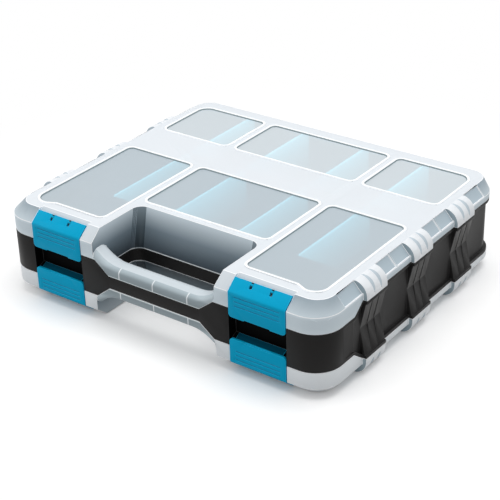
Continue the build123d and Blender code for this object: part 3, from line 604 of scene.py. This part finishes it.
def lidLook(centre, normal):
    return topLook(centre, normal) or frontLook(centre, normal) or sideLook(centre, normal)


def mirrored(piece, name, axis):
    # a copy turned over at mid height ("Z") or to the other side ("X"), with its own mesh
    copy = bpy.data.objects.new(name, piece.data.copy())
    copy.data.name = name
    scene.collection.objects.link(copy)
    makeActive(copy)
    bpy.ops.object.mode_set(mode="EDIT")
    bpy.ops.mesh.select_all(action="SELECT")
    bpy.ops.transform.resize(
        value=(-1, 1, 1) if axis == "X" else (1, 1, -1),
        center_override=(0, 0, middle * mm),
    )
    bpy.ops.mesh.flip_normals()
    bpy.ops.object.mode_set(mode="OBJECT")
    return copy


def beadLook(centre, normal):
    inner = nearWindow(centre, beads["setBack"] + beads["reach"])
    return "inner" if inner and abs(normal.z) < turn["upright"] else "top"


def buildBeads(shell):
    # a raised bead round every window, cut from the lid's own flat top
    editFaces(shell, isTop)
    bpy.ops.mesh.duplicate()
    bpy.ops.mesh.separate(type="SELECTED")
    leaveEdit()
    bead = [piece for piece in bpy.context.selected_objects if piece != shell][0]
    bead.name = bead.data.name = "upperWindowBeads"
    editFaces(bead, lambda centre, normal: True)
    bpy.ops.mesh.inset(thickness=beads["setBack"] * mm, use_boundary=True)
    bpy.ops.mesh.select_all(action="INVERT")
    bpy.ops.mesh.delete(type="FACE")
    bpy.ops.mesh.select_all(action="SELECT")
    bpy.ops.mesh.inset(thickness=beads["width"] * mm, use_boundary=True)
    bpy.ops.mesh.delete(type="FACE")
    leaveEdit()
    editFaces(bead, lambda centre, normal: not nearWindow(centre, beads["width"]))
    bpy.ops.mesh.delete(type="FACE")
    leaveEdit()
    makeActive(bead)
    bpy.ops.object.modifier_add(type="SOLIDIFY")
    bead.modifiers[-1].thickness = (lid["topSink"] + beads["depth"]) * mm
    bead.modifiers[-1].offset = -1
    bpy.ops.object.modifier_apply(modifier=bead.modifiers[-1].name)
    setMaterials(bead, beadLooks, beadLook)
    roundEdges(bead, beads, slotOf(beadLooks, "top"))
    return bead


# the handle of the solid stands straight up to cadTop; the real crest lies lower, at top, and rises
# in a round towards the lid at both ends
handle = {
    "frontY": -132.9, "backY": -116.5, "endX": 59.2, "blockX": 58.0, "blockZ": 55.7,
    "jointX": 44.5, "jointZ": 45.0, "cadStraightX": 40.0, "cadTop": 60.0, "cadRise": 4.0,
    "straightX": 36.0, "top": 54.0, "rise": 10.0, "cuts": (36.0, 42.0, 47.0, 52.0),
    "margin": 0.1, "sameX": 0.006,
}


def jointHeight(x):
    share = (x - handle["jointX"]) / (handle["blockX"] - handle["jointX"])
    return handle["jointZ"] + min(max(share, 0), 1) * (handle["blockZ"] - handle["jointZ"])


def solidCrest(x):
    share = (x - handle["cadStraightX"]) / (handle["endX"] - handle["cadStraightX"])
    return handle["cadTop"] + max(share, 0) * handle["cadRise"]


def roundCrest(x):
    run = handle["endX"] - handle["straightX"]
    radius = (run**2 + handle["rise"] ** 2) / (2 * handle["rise"])
    return handle["top"] + radius - sqrt(radius**2 - max(x - handle["straightX"], 0) ** 2)


def onBar(point):
    x = abs(point.x)
    alongBar = x < handle["blockX"] - handle["margin"]
    acrossBar = handle["frontY"] - closeBy < point.y < handle["backY"] + closeBy
    aboveJoint = jointHeight(x) + handle["margin"] < point.z < solidCrest(x) + closeBy
    return alongBar and acrossBar and aboveJoint


def isFront(centre, normal):
    return normal.y < -turn["flat"] and centre.y < handle["frontY"] + closeBy


def lowerHandle(shell):
    # cut the bar across, then squeeze each row of its points down towards the joint of the two lids
    for cut in handle["cuts"]:
        for x in (-cut, cut):
            editFaces(shell, lambda centre, normal: True)
            bpy.ops.mesh.bisect(plane_co=(x * mm, 0, 0), plane_no=(1, 0, 0))
            leaveEdit()
    barPoints = [point.co / mm for point in shell.data.vertices if onBar(point.co / mm)]
    for x in sorted({round(abs(point.x), 2) for point in barPoints}):
        base = jointHeight(x)
        editVertices(shell, lambda point: onBar(point) and abs(abs(point.x) - x) < handle["sameX"])
        bpy.ops.transform.resize(
            value=(1, 1, (roundCrest(x) - base) / (solidCrest(x) - base)),
            center_override=(0, 0, base * mm),
        )
        leaveEdit()
    editFaces(shell, lambda centre, normal: True)
    bpy.ops.mesh.dissolve_limited(angle_limit=radians(merge["flatAngle"]))
    leaveEdit()
    # the front face is parted where the handle meets the lid
    for x in (-handle["blockX"], handle["blockX"]):
        editFaces(shell, isFront)
        bpy.ops.mesh.bisect(plane_co=(x * mm, 0, 0), plane_no=(1, 0, 0))
        leaveEdit()


upperLid = mergedCopy("upper_lid", "upperLidShell")
lowerHandle(upperLid)
upperBeads = buildBeads(upperLid)
setMaterials(upperLid, lidLooks, lidLook)
editVertices(upperLid, lambda point: point.z > boxHeight - closeBy)
bpy.ops.transform.translate(value=(0, 0, -lid["topSink"] * mm))
leaveEdit()
roundEdges(upperLid, lid, slotOf(lidLooks, "edge"))
repaint(upperLid, slotOf(lidLooks, "web"), isWeb)
repaint(upperLid, slotOf(lidLooks, "rim"), isStep)
lowerLid = mirrored(upperLid, "lowerLidShell", "Z")
for look, below in (("wall", frostLowerLit), ("slope", frostLowerLit), ("recess", lowerRecessShade)):
    lowerLid.data.materials[slotOf(lidLooks, look)] = below
lowerBeads = mirrored(upperBeads, "lowerWindowBeads", "Z")
for piece, body in ((upperLid, "upper_lid"), (lowerLid, "lower_lid")):
    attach(piece, body)
    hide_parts(body)
for piece, body in ((upperBeads, "upper_lid"), (lowerBeads, "lower_lid")):
    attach(piece, body)
print("lids", len(upperLid.data.polygons), "faces, beads", len(upperBeads.data.polygons))


# tray

tray = {
    "edgeWidth": 0.3, "edgeSegments": 2, "edgeAngle": 28, "bayX": (72.0, 124.0),
    "bayY": (-132.8, -122.0), "leafX": 154.5, "leafSide": 0.9, "leafLean": 0.1,
}
trayLooks = {"body": blackPlastic, "edge": blackEdgeHighlight, "bay": blackBayShade, "leaf": litBlackLeaf}


def trayLook(centre, normal):
    inBayX = tray["bayX"][0] < abs(centre.x) < tray["bayX"][1]
    inBayY = tray["bayY"][0] < centre.y < tray["bayY"][1]
    if inBayX and inBayY:
        return "bay"
    leansDown = abs(normal.x) > tray["leafSide"] and normal.z < -tray["leafLean"]
    return "leaf" if abs(centre.x) > tray["leafX"] and leansDown else "body"


trayShell = mergedCopy("tray_body", "trayShell")
setMaterials(trayShell, trayLooks, trayLook)
roundEdges(trayShell, tray, slotOf(trayLooks, "edge"))
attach(trayShell, "tray")
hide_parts("tray_body")
print("tray", len(trayShell.data.polygons), "faces")


# latches

latch = {
    "edgeWidth": 0.25, "edgeSegments": 2, "edgeAngle": 28, "face": -133.4, "grooveFloor": -132.9,
    "grooveZ": (58.0, 67.5), "grooveLip": 0.1, "hookY": -131.0, "hookZ": 53.0,
}
latchLooks = {"body": cyanPlastic, "edge": cyanEdgeHighlight, "groove": cyanGrooveShade, "hook": cyanHookShade}


def latchLook(centre, normal):
    if centre.y > latch["hookY"] and centre.z < latch["hookZ"]:
        return "hook"
    inGroove = latch["face"] + latch["grooveLip"] < centre.y < latch["grooveFloor"] + closeBy
    return "groove" if inGroove and latch["grooveZ"][0] < centre.z < latch["grooveZ"][1] else "body"


rightLatch = mergedCopy("upper_right_latch", "upperRightLatchShell")
setMaterials(rightLatch, latchLooks, latchLook)
roundEdges(rightLatch, latch, slotOf(latchLooks, "edge"))
leftLatch = mirrored(rightLatch, "upperLeftLatchShell", "X")
for piece, body in (
    (rightLatch, "upper_right_latch"),
    (leftLatch, "upper_left_latch"),
    (mirrored(rightLatch, "lowerRightLatchShell", "Z"), "lower_right_latch"),
    (mirrored(leftLatch, "lowerLeftLatchShell", "Z"), "lower_left_latch"),
):
    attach(piece, body)
    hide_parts(body)
print("latches", len(rightLatch.data.polygons), "faces each")


# dividers and pins keep their CAD shape

for name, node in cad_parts.items():
    if "divider" in name:
        node.data.materials.clear()
        node.data.materials.append(blueDivider)
    if "hinge_pin" in name:
        node.data.materials.clear()
        node.data.materials.append(steelPin)
print("dividers and pins painted")


# floor, light and camera

def backdropRays(tree):
    # 1 for rays that see the backdrop: straight from the camera, mirrored, or through clear plastic
    rays = tree.nodes.new("ShaderNodeLightPath")
    bounced = tree.nodes.new("ShaderNodeMath")
    bounced.operation = "MAXIMUM"
    seen = tree.nodes.new("ShaderNodeMath")
    seen.operation = "MAXIMUM"
    tree.links.new(rays.outputs["Is Glossy Ray"], bounced.inputs[0])
    tree.links.new(rays.outputs["Is Transmission Ray"], bounced.inputs[1])
    tree.links.new(rays.outputs["Is Camera Ray"], seen.inputs[0])
    tree.links.new(bounced.outputs[0], seen.inputs[1])
    return seen.outputs[0]


stageLook = {
    "floorSize": 8.0, "floorColour": (1.0, 1.0, 1.0), "bounceColour": (0.5, 0.5, 0.5), "lift": 0.07,
    "whiteFrom": 0.17, "whiteTo": 0.42, "drop": 0.2,
}
deselectAll()
bpy.ops.mesh.primitive_plane_add(
    size=stageLook["floorSize"], location=(0, 0, -stageLook["drop"] * mm),
)
floor = bpy.context.object
floor.name = "floor"
floorPaint = bpy.data.materials.new("floorPaint")
floorPaint.use_nodes = True
nodes, links = floorPaint.node_tree.nodes, floorPaint.node_tree.links
nodes.remove(nodes["Principled BSDF"])
matte = nodes.new("ShaderNodeBsdfDiffuse")
shade = nodes.new("ShaderNodeMix")
shade.data_type = "RGBA"
shade.inputs["A"].default_value = (*stageLook["bounceColour"], 1)
shade.inputs["B"].default_value = (*stageLook["floorColour"], 1)
glow = nodes.new("ShaderNodeEmission")
both = nodes.new("ShaderNodeAddShader")
rays = backdropRays(floorPaint.node_tree)
lift = nodes.new("ShaderNodeMath")
lift.operation = "MULTIPLY"
lift.inputs[1].default_value = stageLook["lift"]
links.new(rays, lift.inputs[0])
links.new(rays, shade.inputs["Factor"])
links.new(shade.outputs["Result"], matte.inputs["Color"])
links.new(lift.outputs[0], glow.inputs["Strength"])
links.new(matte.outputs[0], both.inputs[0])
links.new(glow.outputs[0], both.inputs[1])
# away from the object's shadow the floor turns into the white of the backdrop
place = nodes.new("ShaderNodeTexCoord")
reach = nodes.new("ShaderNodeVectorMath")
reach.operation = "LENGTH"
fade = nodes.new("ShaderNodeMapRange")
fade.interpolation_type = "SMOOTHSTEP"
fade.inputs["From Min"].default_value = stageLook["whiteFrom"]
fade.inputs["From Max"].default_value = stageLook["whiteTo"]
seen = nodes.new("ShaderNodeMath")
seen.operation = "MULTIPLY"
white = nodes.new("ShaderNodeEmission")
spread = nodes.new("ShaderNodeMixShader")
links.new(place.outputs["Object"], reach.inputs[0])
links.new(reach.outputs["Value"], fade.inputs["Value"])
links.new(fade.outputs["Result"], seen.inputs[0])
links.new(rays, seen.inputs[1])
links.new(seen.outputs[0], spread.inputs["Fac"])
links.new(both.outputs[0], spread.inputs[1])
links.new(white.outputs[0], spread.inputs[2])
links.new(spread.outputs[0], nodes["Material Output"].inputs["Surface"])
floor.data.materials.append(floorPaint)

studio = {
    "world": 0.6, "key": 17.5, "keyPlace": (0.2, 0.15, 1.75), "keySize": 1.4,
    "fill": 3.2, "fillPlace": (-1.0, -0.7, 0.6), "fillSize": 1.0, "aim": (0, 0, 0.04),
    "backdrop": 1.0,
}
world = bpy.data.worlds.new("studio")
scene.world = world
world.use_nodes = True
sky = world.node_tree.nodes["Background"]
sky.inputs["Color"].default_value = (1, 1, 1, 1)
worldLevel = world.node_tree.nodes.new("ShaderNodeMapRange")
worldLevel.inputs["To Min"].default_value = studio["world"]
worldLevel.inputs["To Max"].default_value = studio["backdrop"]
world.node_tree.links.new(backdropRays(world.node_tree), worldLevel.inputs["Value"])
world.node_tree.links.new(worldLevel.outputs["Result"], sky.inputs["Strength"])


def addAreaLight(name, power, size, place):
    deselectAll()
    bpy.ops.object.light_add(type="AREA", location=place)
    lamp = bpy.context.object
    lamp.name = name
    lamp.data.energy = power
    lamp.data.size = size
    toAim = Vector(studio["aim"]) - Vector(place)
    lamp.rotation_euler = toAim.to_track_quat("-Z", "Y").to_euler()


addAreaLight("keyLight", studio["key"], studio["keySize"], studio["keyPlace"])
addAreaLight("fillLight", studio["fill"], studio["fillSize"], studio["fillPlace"])

view = {
    "azimuth": 36.89, "elevation": 28.68, "roll": -1.74, "place": (598.6, -805.2, 570.0),
    "focal": 1364.7, "pixels": 500, "sensor": 36,  # focal length in pixels, sensor in mm
}
azimuth, elevation, roll = (radians(view[key]) for key in ("azimuth", "elevation", "roll"))
back = Vector((sin(azimuth) * cos(elevation), -cos(azimuth) * cos(elevation), sin(elevation)))
right = Vector((cos(azimuth), sin(azimuth), 0))
up = back.cross(right)
rightRolled = cos(roll) * right + sin(roll) * up
upRolled = cos(roll) * up - sin(roll) * right
deselectAll()
bpy.ops.object.camera_add()
camera = bpy.context.object
turned = Matrix((rightRolled, upRolled, back)).transposed().to_4x4()
camera.matrix_world = Matrix.Translation(Vector(view["place"]) * mm) @ turned
camera.data.sensor_width = view["sensor"]
camera.data.lens = view["focal"] / view["pixels"] * view["sensor"]
scene.camera = camera
scene.view_settings.view_transform = "Standard"
print("floor, light and camera set")
